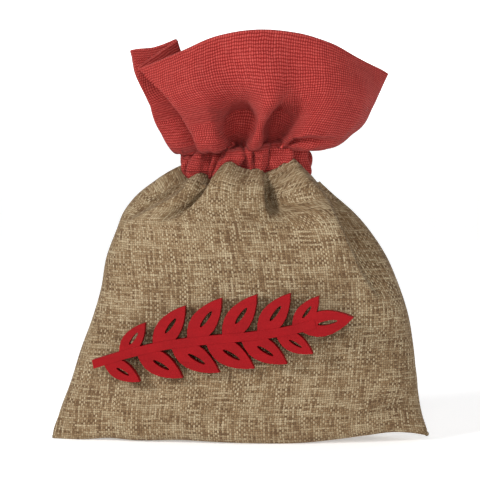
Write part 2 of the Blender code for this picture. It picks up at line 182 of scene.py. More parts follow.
def smooth(table, t):
    """Values at t, an array, on smooth curves through a table's rows (t, value, value, ...)."""
    table = np.array(table, float)
    x, y = table[:, 0], table[:, 1:]
    slope = np.gradient(y, x, axis=0)
    i = np.clip(np.searchsorted(x, t, side="right") - 1, 0, len(x) - 2)
    span = (x[i + 1] - x[i])[..., None]
    u = np.clip((t - x[i])[..., None] / span, 0, 1)
    return (
        y[i] * (2 * u**3 - 3 * u**2 + 1)
        + slope[i] * span * (u**3 - 2 * u**2 + u)
        + y[i + 1] * (3 * u**2 - 2 * u**3)
        + slope[i + 1] * span * (u**3 - u**2)
    )


def fold_height(line, power, x, z, step=False):
    """How far one fold moves the points (x, z): a bell, or an edge, across its line."""
    best = np.full(x.shape, 1e9)
    height = np.zeros(x.shape)
    for (x0, z0, w0, h0), (x1, z1, w1, h1) in zip(line, line[1:]):
        along = np.array([x1 - x0, z1 - z0])
        t = np.clip(((x - x0) * along[0] + (z - z0) * along[1]) / (along @ along), 0, 1)
        off = np.hypot(x - x0 - t * along[0], z - z0 - t * along[1])
        width = w0 + (w1 - w0) * t
        value = (h0 + (h1 - h0) * t) * np.exp(-((off / width) ** power))
        if step:
            aside = (along[0] * (z - z0) - along[1] * (x - x0)) / np.hypot(*along)
            behind = 1 / (1 + np.exp(-np.clip(aside / STEP_WIDTH, -40, 40)))  # from 0 to 1
            raised = (h0 + (h1 - h0) * t) * np.exp(-((off / width / STEP_SPREAD) ** ROUND_FOLD))
            value = STEP_BELOW * value * behind - STEP_ABOVE * raised * (1 - behind)
        nearer = off < best
        best = np.where(nearer, off, best)
        height = np.where(nearer, value, height)
    return height


def all_folds(ridges, creases, steps, x, z):
    """How far all these folds together move the points (x, z)."""
    moved = 0 * x
    kinds = ((ridges, ROUND_FOLD, False), (creases, SHARP_FOLD, False), (steps, SHARP_FOLD, True))
    for folds, power, step in kinds:
        for line in folds.values():
            moved = moved + fold_height(line, power, x, z, step)
    return moved


def ripple(points, wavelength, height, seed):
    """Smooth random ups and downs over a grid of points."""
    places = points.reshape(-1, 3) / wavelength + seed
    return height * np.array([noise.noise(p) for p in places.tolist()]).reshape(points.shape[:2])


def arc_lengths(points, axis):
    """Distance run along one axis of a grid of points, from its first row or column."""
    steps = np.linalg.norm(np.diff(points, axis=axis), axis=2)
    pad = [(0, 0), (0, 0)]
    pad[axis] = (1, 0)
    return np.cumsum(np.pad(steps, pad), axis=axis)


def cloth_uv(points):
    """Where each point lies on the flat cloth, in metres, so that the weave keeps its scale."""
    columns = points.shape[1]
    u = arc_lengths(points, 1)
    u = u - u[:, columns // 2][:, None]
    v = arc_lengths(points, 0).mean(axis=1)[:, None] + np.zeros((1, columns))
    return np.stack([u, v], axis=2)


def surface_normals(points, closed=False):
    """Unit normals of a grid, by the right-hand rule from its columns' way to its rows' way."""
    if closed:
        ring = np.concatenate([points[:, -3:-1], points, points[:, 1:3]], axis=1)
        across = np.gradient(ring, axis=1)[:, 2:-2]
    else:
        across = np.gradient(points, axis=1)
    normal = np.cross(across, np.gradient(points, axis=0))
    return normal / np.maximum(np.linalg.norm(normal, axis=2, keepdims=True), 1e-12)


def mesh_object(name, vertices, faces, uv, material):
    """A smooth mesh whose UV map 'cloth' holds each vertex's place on the flat cloth."""
    mesh = bpy.data.meshes.new(name)
    mesh.from_pydata(vertices.tolist(), [], faces.tolist())
    layer = mesh.uv_layers.new(name="cloth")
    layer.data.foreach_set("uv", uv[faces.reshape(-1)].astype(np.float32).ravel())
    mesh.shade_smooth()
    obj = bpy.data.objects.new(name, mesh)
    obj.data.materials.append(material)
    bpy.context.scene.collection.objects.link(obj)
    return obj


def quads(a, b, c, d):
    return np.stack([x.ravel() for x in (a, b, c, d)], axis=1)


def cloth_shell(name, outside, normals, thickness, uv, material):
    """A closed sheet inside a grid, rounded over along its top row.

    The thickness is one number, or one for each column.
    """
    rows, columns, _ = outside.shape
    thickness = np.broadcast_to(thickness, (columns,))[:, None]
    inside = outside - normals * thickness
    up = outside[-1] - outside[-2]
    up = up / np.maximum(np.linalg.norm(up, axis=1, keepdims=True), 1e-12)
    crest = (outside[-1] + inside[-1]) / 2 + up * thickness * 0.4
    sheet = np.concatenate([outside, crest[None], inside[::-1]])
    places = np.concatenate([uv, uv[-1:], uv[::-1]])
    index = np.arange(len(sheet) * columns).reshape(len(sheet), columns)
    faces = [quads(index[:-1, :-1], index[:-1, 1:], index[1:, 1:], index[1:, :-1])]
    faces.append(quads(index[-1, :-1], index[-1, 1:], index[0, 1:], index[0, :-1]))
    for column, order in ((0, (0, 1, 2, 3)), (-1, (3, 2, 1, 0))):
        out, inn = index[:rows, column], index[rows + 1 :, column][::-1]
        corners = (out[:-1], out[1:], inn[1:], inn[:-1])
        faces.append(quads(*[corners[k] for k in order]))
    faces = np.concatenate(faces)
    obj = mesh_object(name, sheet.reshape(-1, 3), faces, places.reshape(-1, 2), material)
    close_ends(obj)
    return obj


def open_sheet(name, grid, thickness, material):
    """A closed sheet inside a grid that isn't cut from a ring."""
    return cloth_shell(name, grid, surface_normals(grid), thickness, cloth_uv(grid), material)


def close_ends(obj):
    """Fills what is still open at the ends of a rounded edge, and turns all faces outwards."""
    bm = bmesh.new()
    bm.from_mesh(obj.data)
    open_edges = [e for e in bm.edges if e.is_boundary]
    if open_edges:
        bmesh.ops.holes_fill(bm, edges=open_edges, sides=0)
    bmesh.ops.recalc_face_normals(bm, faces=bm.faces)
    bm.to_mesh(obj.data)
    bm.free()


def tubes(name, paths, radii, material, sides=6):
    """Round strands along paths, each a row of points with a row of radii, closed at both ends."""
    vertices, faces = [], []
    around = np.linspace(0, 2 * math.pi, sides, endpoint=False)
    for path, radius in zip(paths, radii):
        along = np.gradient(path, axis=0)
        along = along / np.maximum(np.linalg.norm(along, axis=1, keepdims=True), 1e-12)
        aside = np.where(np.abs(along[:, 2:]) > 0.8, [[1.0, 0, 0]], [[0, 0, 1.0]])
        one = np.cross(along, aside)
        one = one / np.maximum(np.linalg.norm(one, axis=1, keepdims=True), 1e-12)
        two = np.cross(along, one)
        ring = one[:, None] * np.cos(around)[:, None] + two[:, None] * np.sin(around)[:, None]
        first = len(vertices)
        vertices.extend((path[:, None] + ring * radius[:, None, None]).reshape(-1, 3).tolist())
        for k in range(len(path) - 1):
            for j in range(sides):
                low, high = first + k * sides, first + (k + 1) * sides
                faces.append((low + j, low + (j + 1) % sides, high + (j + 1) % sides, high + j))
        faces.append(tuple(first + j for j in range(sides))[::-1])
        faces.append(tuple(first + (len(path) - 1) * sides + j for j in range(sides)))
    mesh = bpy.data.meshes.new(name)
    mesh.from_pydata(vertices, [], faces)
    mesh.shade_smooth()
    obj = bpy.data.objects.new(name, mesh)
    obj.data.materials.append(material)
    bpy.context.scene.collection.objects.link(obj)
    close_ends(obj)
    return obj


def along_path(path, distances):
    """Points this far along a path."""
    run = arc_lengths(path[None], 1)[0]
    return np.stack([np.interp(distances, run, path[:, k]) for k in range(3)], axis=1)


STITCH, STITCH_GAP = 2.2 * MM, 0.7 * MM
STITCH_BULGE = np.array([0.25, 0.85, 1.0, 0.85, 0.25])  # the thread's radius along one stitch
OVERLOCK_PITCH, OVERLOCK_REACH = 1.5 * MM, 0.9 * MM
OVERLOCK_POINTS = 8  # a loop


def stitches(name, paths, material):
    """A row of running stitches along each path."""
    pieces = []
    for path in paths:
        length = arc_lengths(path[None], 1)[0, -1]
        count = max(1, int(length / (STITCH + STITCH_GAP)))
        for k in range(count):
            start = k * length / count + STITCH_GAP / 2
            pieces.append(along_path(path, np.linspace(start, start + STITCH, len(STITCH_BULGE))))
    return tubes(name, pieces, [STITCH_BULGE * THREAD_R] * len(pieces), material)


def overlock(name, edge, inward, flat_way, material):
    """Overlock thread that zigzags over a raw edge. Its loops run round both faces of the edge."""
    length = arc_lengths(edge[None], 1)[0, -1]
    distances = np.linspace(0, length, int(length / OVERLOCK_PITCH) * OVERLOCK_POINTS)
    turn = 2 * math.pi * distances / OVERLOCK_PITCH
    path = along_path(edge, distances)
    path = path + np.outer(np.cos(turn) * OVERLOCK_REACH, inward)
    path = path + np.outer(np.sin(turn) * OVERLOCK_REACH, flat_way)
    return tubes(name, [path], [np.full(len(path), THREAD_R)], material)


# ---------------------------------------------------------------- materials


class Nodes:
    """Short calls for building one material's node tree."""

    def __init__(self, name):
        self.material = bpy.data.materials.new(name)
        self.material.use_nodes = True
        self.tree = self.material.node_tree
        self.shader = self.tree.nodes["Principled BSDF"]

    def new(self, kind, **settings):
        node = self.tree.nodes.new("ShaderNode" + kind)
        for key, value in settings.items():
            setattr(node, key, value)
        return node

    def feed(self, socket, value):
        if isinstance(value, bpy.types.NodeSocket):
            self.tree.links.new(value, socket)
        elif value is not None:
            socket.default_value = value

    def math(self, operation, a, b=None, c=None, clamp=False):
        node = self.new("Math", operation=operation, use_clamp=clamp)
        for socket, value in zip(node.inputs, (a, b, c)):
            self.feed(socket, value)
        return node.outputs[0]

    def vector(self, x, y, z=0.0):
        node = self.new("CombineXYZ")
        for socket, value in zip(node.inputs, (x, y, z)):
            self.feed(socket, value)
        return node.outputs[0]

    def noise(self, place, scale, detail=2.0, roughness=0.5):
        node = self.new("TexNoise")
        self.feed(node.inputs["Vector"], place)
        node.inputs["Scale"].default_value = scale
        node.inputs["Detail"].default_value = detail
        node.inputs["Roughness"].default_value = roughness
        return node.outputs["Fac"]

    def ramp(self, fac, stops):
        node = self.new("ValToRGB")
        self.feed(node.inputs[0], fac)
        ramp = node.color_ramp
        while len(ramp.elements) < len(stops):
            ramp.elements.new(0.5)
        for element, (place, colour) in zip(ramp.elements, stops):
            element.position = place
            element.color = (*colour, 1)
        return node.outputs["Color"]

    def mix(self, fac, a, b):
        node = self.new("Mix", data_type="RGBA")
        self.feed(node.inputs[0], fac)
        self.feed(node.inputs[6], a if isinstance(a, bpy.types.NodeSocket) else (*a, 1))
        self.feed(node.inputs[7], b if isinstance(b, bpy.types.NodeSocket) else (*b, 1))
        return node.outputs[2]

    def bump(self, height, distance):
        node = self.new("Bump")
        node.inputs["Distance"].default_value = distance
        self.feed(node.inputs["Height"], height)
        self.feed(self.shader.inputs["Normal"], node.outputs[0])


# Both weaves. Distances across the cloth are in pitches, unless they say otherwise.
WANDER, WANDER_SCALE = 0.9, 260.0  # how far the threads stray, and how fast, a metre
CROWN = 2.4  # power of a thread's rounded section
DIP = 0.75  # how much lower a thread lies where it goes under another one
PATCH, PATCH_SCALE = 0.35, 55.0  # how dark, and how small, a metre, the cloth's uneven patches are
FIBRES = 6.0  # fibres across a thread
CREST_FROM = 0.72  # height above which a thread's crest gets a painted highlight


def woven(name, pitch, warp_stops, weft_stops, gap_shade_and_patch, slub, relief, seed,
          fuzz, fuzz_colour, crest_highlight=0.0, crest_highlight_colour=(1, 1, 1)):
    """Plain weave of threads that dip under each other, each with a shade that drifts in slubs.

    The stops are the shades of the two sets of threads. The gap colour is painted shade in the
    gaps and dips between them, and it also tints the uneven patches. The fuzz of loose fibres is a
    sheen. The crest colour, at the share given for it, is a painted highlight on the threads'
    crests.
    """
    n = Nodes(name)
    uv = n.new("UVMap", uv_map="cloth")
    wobble = n.noise(uv.outputs[0], WANDER_SCALE, 1.0)
    shift = n.math("MULTIPLY", n.math("SUBTRACT", wobble, 0.5), WANDER)
    split = n.new("SeparateXYZ")
    n.feed(split.inputs[0], uv.outputs[0])
    u = n.math("ADD", n.math("MULTIPLY", split.outputs[0], 1 / pitch), shift)
    v = n.math("ADD", n.math("MULTIPLY", split.outputs[1], 1 / pitch), shift)
    iu, iv = n.math("FLOOR", u), n.math("FLOOR", v)
    fu, fv = n.math("SUBTRACT", u, iu), n.math("SUBTRACT", v, iv)

    def crown(f):
        """Round section of a thread, from 0 at its edges to 1 at its crest."""
        centred = n.math("MULTIPLY", n.math("SUBTRACT", f, 0.5), 2.0)
        return n.math("SUBTRACT", 1.0, n.math("POWER", n.math("ABSOLUTE", centred), CROWN))

    def wave(along, across):
        """1 where the thread passes over its neighbours, 0 where it passes under them."""
        turn = n.math("MULTIPLY", n.math("ADD", along, across), math.pi)
        return n.math("ADD", n.math("MULTIPLY", n.math("SINE", turn), 0.5), 0.5)

    def thread_height(f, up):
        return n.math("MULTIPLY", crown(f), n.math("ADD", n.math("MULTIPLY", up, DIP), 1 - DIP))

    warp_h = thread_height(fu, wave(v, iu))
    weft_h = thread_height(fv, wave(u, n.math("ADD", iv, 1.0)))
    height = n.math("MAXIMUM", warp_h, weft_h)
    warp_on_top = n.math("GREATER_THAN", warp_h, weft_h)

    def shade(number, along, offset):
        """The shade of the thread with this number, which changes along it."""
        place = n.vector(n.math("MULTIPLY", number, 3.71), n.math("MULTIPLY", along, slub), offset)
        return n.noise(place, 1.0, 3.0, 0.6)

    warp = n.ramp(shade(iu, v, seed), warp_stops)
    weft = n.ramp(shade(iv, u, seed + 9.0), weft_stops)
    cloth = n.mix(warp_on_top, weft, warp)
    patches = n.noise(uv.outputs[0], PATCH_SCALE, 3.0)
    cloth = n.mix(n.math("MULTIPLY", patches, PATCH), cloth, gap_shade_and_patch)
    depth = n.math("SMOOTH_MIN", n.math("MULTIPLY", height, 1.2), 1.0, 0.2)
    along, across = n.math("MULTIPLY", u, FIBRES), n.math("MULTIPLY", v, FIBRES)
    fibres = n.noise(n.vector(along, across), 1.0, 2.0)
    crest = n.math("MULTIPLY", n.math("SUBTRACT", height, CREST_FROM), 4.0, clamp=True)
    # Painted highlight: the threads' crests are lightened towards the crest colour.
    cloth = n.mix(n.math("MULTIPLY", crest, crest_highlight), cloth, crest_highlight_colour)
    # Painted shade: low spots of the threads, at their edges, where they dip and in the gaps, are
    # darkened towards the gap colour.
    shaded = n.mix(n.math("SUBTRACT", 1.0, depth, clamp=True), cloth, gap_shade_and_patch)
    n.feed(n.shader.inputs["Base Color"], shaded)
    n.feed(n.shader.inputs["Roughness"], n.math("ADD", n.math("MULTIPLY", fibres, 0.15), 0.82))
    n.shader.inputs["Specular IOR Level"].default_value = 0.2
    n.shader.inputs["Sheen Weight"].default_value = fuzz
    n.shader.inputs["Sheen Roughness"].default_value = 0.3
    n.shader.inputs["Sheen Tint"].default_value = (*fuzz_colour, 1)
    n.bump(n.math("ADD", height, n.math("MULTIPLY", fibres, 0.25)), relief)
    return n.material


def burlap_material():
    warp = [
        (0.37, (0.13, 0.075, 0.036)),
        (0.45, (0.255, 0.17, 0.088)),
        (0.53, (0.375, 0.285, 0.17)),
        (0.66, (0.49, 0.395, 0.25)),
    ]
    weft = [
        (0.38, (0.11, 0.06, 0.027)),
        (0.48, (0.22, 0.137, 0.067)),
        (0.56, (0.35, 0.262, 0.155)),
        (0.68, (0.475, 0.38, 0.24)),
    ]
    # The gap colour given here is painted shade between the threads.
    return woven(
        "burlap", BURLAP_PITCH, warp, weft, gap_shade_and_patch=(0.085, 0.052, 0.027), slub=0.085,
        relief=0.25 * MM, seed=1.0, fuzz=0.02, fuzz_colour=(1, 0.8, 0.6),
    )


def red_material():
    warp = [(0.3, (0.32, 0.018, 0.015)), (0.5, (0.39, 0.028, 0.023)), (0.75, (0.48, 0.060, 0.050))]
    weft = [(0.3, (0.30, 0.016, 0.014)), (0.5, (0.37, 0.026, 0.021)), (0.75, (0.46, 0.055, 0.046))]
    # The gap colour given here is painted shade between the threads.
    return woven(
        "red_cloth", RED_PITCH, warp, weft, gap_shade_and_patch=(0.045, 0.0015, 0.0015), slub=0.1,
        relief=0.3 * MM, seed=5.0, fuzz=0.14, fuzz_colour=(1, 0.34, 0.3),
        # The crest colour is a painted highlight on the threads' crests.
        crest_highlight=0.3, crest_highlight_colour=(0.58, 0.15, 0.13),
    )


def painted_wood_material():
    n = Nodes("painted_wood")
    place = n.new("TexCoord").outputs["Object"]
    stretch = n.new("Mapping")
    n.feed(stretch.inputs["Vector"], place)
    stretch.inputs["Scale"].default_value = (60, 400, 900)
    grain = n.noise(stretch.outputs[0], 1.0, 4.0, 0.6)
    mottle = n.noise(place, 180.0, 3.0)
    colour = n.mix(mottle, (0.20, 0.001, 0.003), (0.30, 0.002, 0.005))
    colour = n.mix(n.math("MULTIPLY", grain, 0.4), colour, (0.12, 0.0005, 0.002))
    n.feed(n.shader.inputs["Base Color"], colour)
    n.feed(n.shader.inputs["Roughness"], n.math("ADD", n.math("MULTIPLY", grain, 0.2), 0.5))
    n.shader.inputs["Specular IOR Level"].default_value = 0.12
    n.bump(n.math("ADD", n.math("MULTIPLY", grain, 0.6), mottle), 0.12 * MM)
    return n.material


def plain_material(name, dark, light, scale, roughness):
    """Small pieces that hardly show: two shades, mottled, with a fine bump."""
    n = Nodes(name)
    place = n.new("TexCoord").outputs["Object"]
    mottle = n.noise(place, scale, 3.0)
    n.feed(n.shader.inputs["Base Color"], n.mix(mottle, dark, light))
    n.feed(n.shader.inputs["Roughness"], n.math("ADD", n.math("MULTIPLY", mottle, 0.2), roughness))
    n.bump(mottle, 0.1 * MM)
    return n.material


# ---------------------------------------------------------------- body


# Smaller shapes of the body, in mm and shares
SECTION_POWER = 0.8  # under 1, a section is flatter in front than an ellipse
POINTED, POINTED_FADE = 0.6, 14  # how much sharper the sections are at the base, and how far up
RIPPLES = ((30, 0.9, 0), (12, 0.45, 5), (5, 0.15, 9))  # (wavelength, height, seed) of unevenness
CALM_SIDES, CALM_BASE = 3.5, 8  # folds fade out towards the side seams and below this height
FOLD_ALONG_NORMAL = 0.6  # share of a fold's height that follows the cloth's slope
LIFT_FROM = 74  # height above which the neckline's ups and downs are felt
TUCK, TUCK_H, TUCK_POWER, TUCK_SIDES = 3, 5, 2.2, 0.6  # the upper edge turns in to the casing
GROOVE, GROOVE_W = 0.8, 1.2  # depth and half width of the side seams' grooves
BASE_FADE = 12  # how far up the shape of the bottom edge is felt
BASE_ROWS = 12


def body_sections(side, rows, columns):
    """Grid of one smooth half body over the rounded edge of its base, and its columns' angles."""
    angle = math.pi * np.linspace(0, 1, columns)[None, :]
    turn = np.linspace(0, math.pi / 2, 8)
    edge = BASE_R * (1 - np.cos(turn))
    heights = np.concatenate([edge, np.linspace(BASE_R + 0.5, NECK_Z, rows)])
    left, right, depth = (column[:, None] for column in smooth(BODY_OUTLINE, heights).T)
    x = (left + right) / 2 - (right - left) / 2 * np.cos(angle)
    z = heights[:, None] + 0 * x
    round_in = np.concatenate([BASE_R * (1 - np.sin(turn)), np.zeros(rows)])[:, None]
    power = SECTION_POWER + POINTED * np.exp(-z / POINTED_FADE)
    out = np.maximum(depth - round_in, 0) * np.sin(angle) ** power
    return np.stack([x, side * out, z], axis=2), angle


def fold_body(sections, angle, side):
    """The sections with their folds, overlapping edges and unevenness."""
    x, z = sections[..., 0], sections[..., 2]
    overlap = all_folds({}, {}, STEPS[side], x, z)
    moved = all_folds(RIDGES[side], CREASES[side], {}, x, z)
    for wavelength, height, seed in RIPPLES:
        moved = moved + ripple(sections, wavelength, height, seed + side)
    inland = np.minimum(1, np.sin(angle) * CALM_SIDES) * np.minimum(1, z / CALM_BASE)
    outwards = (1 - FOLD_ALONG_NORMAL) * np.array([0, side, 0])
    direction = FOLD_ALONG_NORMAL * surface_normals(sections) * -side + outwards
    points = sections + direction * (moved * inland)[..., None]
    points[..., 1] += side * overlap * inland
    points[..., 0] += OVERHANG * np.sign(x) * np.maximum(overlap, 0) * inland
    return points


def draw_in_neck(points, top_x, z, angle, side):
    """Raises and lowers the upper edge along its neckline, and tucks it in."""
    lift = smooth(NECKLINES[side], top_x)[:, 0] - NECK_Z
    share = np.clip((z - LIFT_FROM) / (NECK_Z - LIFT_FROM), 0, 1)
    points[..., 2] += lift[None, :] * share**2 * (3 - 2 * share)
    tuck = TUCK * np.clip((z - NECK_Z + TUCK_H) / TUCK_H, 0, 1) ** TUCK_POWER
    points[..., 1] -= side * tuck
    points[..., 0] -= tuck * np.sign(points[..., 0]) * np.cos(angle) ** 2 * TUCK_SIDES


def draw_to_seams(points, z, side):
    """Pulls the cloth in along the side seams, and keeps it on its own side of them."""
    points[..., 1] = side * np.maximum(side * points[..., 1], 0)
    groove = GROOVE * np.exp(-((points[..., 1] / GROOVE_W) ** 2)) * np.clip(z / BASE_FADE, 0, 1)
    points[..., 0] -= groove * np.sign(points[..., 0])
    points[..., 1] += side * SEAM_HALF_GAP


def add_base(points, side):
    """The points with rows under the sack added, and the bottom edge and its two ears shaped."""
    seam_y = side * SEAM_HALF_GAP
    floor = []
    for share in np.linspace(0, 1, BASE_ROWS, endpoint=False):
        row = points[0].copy()
        row[:, 1] = seam_y + (row[:, 1] - seam_y) * share
        floor.append(row)
    points = np.concatenate([np.array(floor), points])
    near_base = np.exp(-points[..., 2] / BASE_FADE)
    points[..., 1] -= EAR_FORWARD * (points[..., 0] / EAR_X) ** 6 * near_base
    points[..., 2] += smooth(BOTTOM_RISE, points[..., 0])[..., 0] * near_base
    return points


def body_points(side, rows=170, columns=230):
    """Grid of one body panel, from the bottom seam over the base's edge up to the neck, in mm."""
    sections, angle = body_sections(side, rows, columns)
    z = sections[..., 2]
    points = fold_body(sections, angle, side)
    draw_in_neck(points, sections[-1, :, 0], z, angle, side)
    draw_to_seams(points, z, side)
    return add_base(points, side)


burlap = burlap_material()
red = red_material()
cream_thread = plain_material("thread", (0.42, 0.36, 0.26), (0.58, 0.52, 0.40), 900.0, 0.75)
red_thread = plain_material("red_thread", (0.25, 0.012, 0.012), (0.36, 0.03, 0.026), 900.0, 0.75)


def add(obj, slot, *nodes, body="sack"):
    """Puts a piece on its body in place of these nodes of the frame."""
    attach(obj, body)
    for node in nodes:
        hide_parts(node)
    return obj


NECK_PLY_ROWS = slice(-17, -5)  # the panel's rows that have the neck's allowance behind them
NECK_PLY_IN, NECK_PLY_MIN_Y = 0.9 * MM, 0.5 * MM
NECK_PLY_SPAN = 0.88  # its width, as a share of the panel's


def neck_ply_points(outside, normals, side):
    """The frilled ply that hangs inside these rows of a panel, kept within the panel's edges."""
    frill = ripple(outside * [1, 1, 0], 2.2 * MM, 1.6 * MM, 3.0)
    inner = outside - normals * (BURLAP_T + NECK_PLY_IN + frill[..., None])
    ends = np.sort(outside[:, [0, -1], 0] * NECK_PLY_SPAN, axis=1)
    inner[..., 0] = np.clip(inner[..., 0], ends[:, :1], ends[:, 1:])
    inner[..., 1] = side * np.maximum(side * inner[..., 1], NECK_PLY_MIN_Y)
    return inner


def make_body():
    """Both panels and the plies inside their upper edges. Gives back the panels' grids."""
    grids = {}
    for side, word in ((FRONT, "front"), (BACK, "back")):
        points = body_points(side) * MM
        if side == BACK:
            points = points[:, ::-1]
        grids[side] = points
        panel = open_sheet(f"body_{word}_cloth", points, BURLAP_T, burlap)
        add(panel, "burlap", f"body_{word}_panel")
        normals = surface_normals(points)
        inner = neck_ply_points(points[NECK_PLY_ROWS], normals[NECK_PLY_ROWS], side)
        ply = open_sheet(f"neck_{word}_ply", inner, BURLAP_T, burlap)
        add(ply, "burlap", f"neck_{word}_allowance")
    return grids


PLY_LOW = 16 * MM  # height at which the side seams' allowances begin
PLY_INSET = BURLAP_T + 1.2 * MM  # from a seam's outside to its allowance
PLY_SHORT = 1.2 * MM  # how much narrower than cut the allowance is, for the overlock round its edge
ALONG_X, ALONG_Y, ALONG_Z = np.eye(3)


def make_allowances(grids):
    """The pressed plies inside the side and bottom seams, with overlock over their raw edges."""
    front = grids[FRONT]
    first = next(k for k in range(len(front)) if front[k, 0, 2] > PLY_LOW)
    steps = np.linspace(0, ALLOWANCE - PLY_SHORT, 6)
    for word, column, inward in (("left", 0, 1), ("right", -1, -1)):
        seam = front[first:-12:3, column] + [inward * PLY_INSET, SEAM_HALF_GAP * MM, 0]
        grid = np.stack([seam + [inward * step, -PLY_HALF_T, 0] for step in steps], axis=1)
        if inward < 0:
            grid = grid[:, ::-1]
        ply = open_sheet(f"{word}_seam_ply", grid, 2 * PLY_HALF_T, burlap)
        add(ply, "burlap", f"{word}_seam_allowance")
        edge = seam + [inward * steps[-1], 0, 0]
        thread = overlock(f"{word}_overlock", edge, ALONG_X, ALONG_Y, cream_thread)
        add(thread, "thread", f"{word}_overlock_thread")
    row = front[0, 24:-24:3] + [0, SEAM_HALF_GAP * MM, PLY_INSET]
    grid = np.stack([row + [0, -PLY_HALF_T, step] for step in steps], axis=0)
    ply = open_sheet("bottom_seam_ply", grid, 2 * PLY_HALF_T, burlap)
    add(ply, "burlap", "bottom_seam_allowance")
    edge = row + [0, 0, steps[-1]]
    thread = overlock("bottom_overlock", edge, ALONG_Z, ALONG_Y, cream_thread)
    add(thread, "thread", "bottom_overlock_thread")


# ---------------------------------------------------------------- collar

# Stations round the collar, in mm, from its left side seam round the front to its right one and
# back behind. Each has a point on the rim, one below it, one low down, one where the cloth rolls
# over the casing and one at the neck, and then how sharp its crease is, from 0 to 1.
COLLAR = {
    "left_seam": [
        (-37.5, -8, 136.2), (-32, -3, 119.5), (-28.2, -2, 108),
        (-22.6, -1, 100.1), (-17.5, 0, 102.6), 0.4,
    ],
    "left_lobe": [
        (-30, -7.6, 136.7), (-25.5, -3, 122), (-21.5, -4, 109),
        (-20.5, -7, 100), (-15.5, -5.5, 102.6), 0,
    ],
    "inner_fold": [
        (-22, -7, 139.8), (-17.5, -4, 123), (-13, -2.5, 110),
        (-15, -8.2, 101.2), (-13, -7.5, 102.6), 0.6,
    ],
    "tucked_sheet": [
        (-28.3, -10, 135), (-19.5, -11.5, 121), (-14, -10, 109.5),
        (-13.5, -12, 102), (-11, -8.3, 102.8), 0,
    ],
    "front_fold": [
        (-35, -13.5, 130), (-23, -18.5, 117.8), (-15.7, -17, 108.8),
        (-11.8, -15.3, 102), (-9.5, -9, 103), 0.4,
    ],
    "front_left": [
        (-20.9, -21.5, 135.4), (-12.5, -23.5, 120.5), (-8.6, -19.5, 109),
        (-7, -15.5, 101.2), (-6.5, -9.6, 102.8), 0,
    ],
    "left_valley": [
        (-6, -27, 141.4), (-1.5, -20.5, 121.5), (-0.5, -9.5, 109.5),
        (-0.2, -7, 104.2), (-0.2, -8, 102.8), 0,
    ],
    "middle_ridge": [
        (8.5, -28.5, 143.5), (11.5, -25.5, 121), (6.8, -17.5, 109.5),
        (4.8, -15, 102.4), (4.2, -10, 102.6), 0,
    ],
    "right_valley": [
        (20, -27, 142.3), (18, -21, 121), (12.4, -9.5, 110),
        (10.8, -7.5, 105.4), (9, -8.4, 102.8), 0,
    ],
    "right_lobe": [
        (31, -22, 139.2), (31, -23.5, 122), (24.5, -20, 110.5),
        (19.5, -16, 102.6), (14.8, -8.8, 103), 0,
    ],
    "right_front": [
        (44.2, -10.5, 131.9), (43, -14, 120), (36.5, -14.5, 108.5),
        (27.5, -10.5, 101.9), (18.5, -5.8, 102.6), 0,
    ],
    "right_seam": [
        (50.9, -3, 128.2), (45.6, -1.5, 116.5), (40.2, -1, 107.5),
        (31, -1, 102.2), (20.7, 0, 102.4), 0.5,
    ],
    "back_right": [
        (42, 14, 131), (38.5, 14, 118), (33, 12, 107.5),
        (24.5, 9, 102), (17.5, 5, 102.6), 0,
    ],
    "back_first_ridge": [
        (29, 27, 135.5), (24, 24, 121), (19, 17.5, 109),
        (14.5, 14.3, 102), (11.5, 8.6, 102.6), 0,
    ],
    "back_valley": [
        (13, 22, 137), (10.5, 16, 121), (7.5, 9.5, 109.5),
        (6, 7.2, 104), (5.5, 8.3, 102.8), 0,
    ],
    "back_second_ridge": [
        (-4, 28, 137), (-4, 25, 121), (-3.5, 18, 109),
        (-3, 14.8, 102), (-2, 9.8, 102.6), 0,
    ],
    "back_third_valley": [
        (-18, 20, 133), (-14.5, 15.5, 121), (-10.5, 9, 109.5),
        (-9, 7.3, 104), (-8, 8.2, 102.8), 0,
    ],
    "back_left": [
        (-31, 14, 132.5), (-27, 14, 121), (-22.5, 12, 109),
        (-18.8, 9, 101.8), (-14, 6, 102.6), 0,
    ],
}
COLLAR_LEVELS = (1.0, 0.58, 0.27, 0.1, 0.0)  # places of those points on the way up
RIGHT_SEAM = list(COLLAR).index("right_seam")


def closed_curve(points, sharpness, places):
    """Points on a smooth closed curve through stations. A sharp station is a crease."""
    ahead, behind = np.roll(points, -1, axis=0), np.roll(points, 1, axis=0)
    step_on = np.linalg.norm(ahead - points, axis=1)[:, None]
    step_back = np.linalg.norm(points - behind, axis=1)[:, None]
    direction = ((ahead - points) / step_on * step_back + (points - behind) / step_back * step_on)
    direction = direction / (step_on + step_back) * (1 - sharpness[:, None])
    i = np.floor(places).astype(int) % len(points)
    u = (places - np.floor(places))[:, None]
    j = (i + 1) % len(points)
    span = step_on[i]
    return (
        points[i] * (2 * u**3 - 3 * u**2 + 1)
        + direction[i] * span * (u**3 - 2 * u**2 + u)
        + points[j] * (3 * u**2 - 2 * u**3)
        + direction[j] * span * (u**3 - u**2)
    )


COLLAR_RIDGES = {
    "middle": [
        (5, 103, 2.6, 1.2), (7.5, 110, 3, 2.4), (11, 118, 4.4, 2.2), (14, 126, 6, 1),
        (16, 134, 8, 0),
    ],
    "front_fold": [(-12, 104, 2.5, 1.2), (-16, 110, 3, 1), (-20, 116, 3.5, 0)],
}
COLLAR_CREASES = {
    "left": [
        (-0.5, 104, 2.2, -0.6), (-0.5, 108.4, 3.4, -6.6), (0.4, 111.5, 4, -6.4),
        (2, 118, 5.4, -2.4), (3.5, 125, 6.5, 0),
    ],
    "right": [
        (11, 104, 2.2, -1), (12.4, 108.6, 3, -6), (14, 112, 3.6, -5.4), (16, 118, 4.8, -2.4),
        (18, 125, 6.5, 0),
    ],
}
